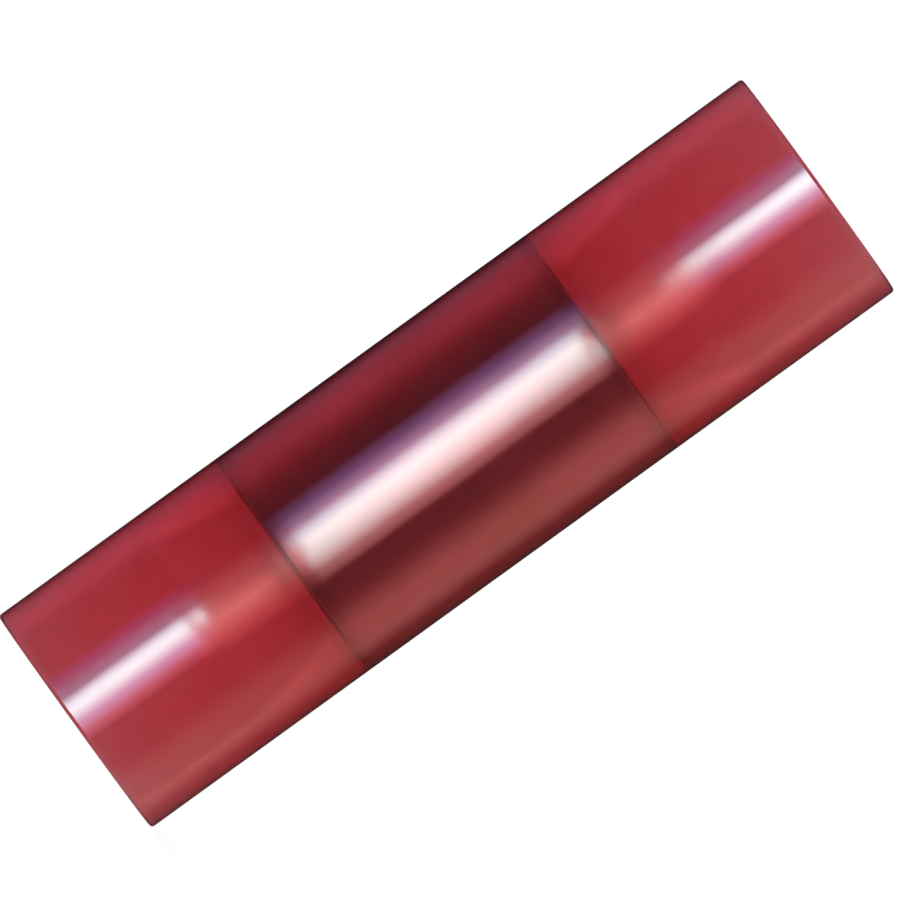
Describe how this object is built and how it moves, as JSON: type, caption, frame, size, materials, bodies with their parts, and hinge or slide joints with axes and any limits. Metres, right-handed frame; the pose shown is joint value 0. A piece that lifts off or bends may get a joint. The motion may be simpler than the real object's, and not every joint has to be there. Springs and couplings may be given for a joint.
{
  "type": "parallel splice connector",
  "caption": "Insulated parallel splice: a plated crimp barrel without a wire stop, held in a translucent red nylon sleeve with a funnelled wire entry at each end.",
  "frame": {"origin": "centre of the sleeve's lower end face, on which the connector stands", "axes": "+Z along the connector's axis, from the lower wire entry to the upper one; +Y towards the barrel's brazed seam; +X completes the frame"},
  "size_m": [0.0058, 0.0056, 0.02],
  "materials": {
    "red_nylon": "translucent red nylon 6/6, moulded, with a smooth glossy skin",
    "tinned_copper": "matt tin plating on rolled copper strip, bright on the high spots"
  },
  "bodies": {
    "root": {"insulating_sleeve": "red_nylon", "crimp_barrel": "tinned_copper"}
  },
  "joints": []
}
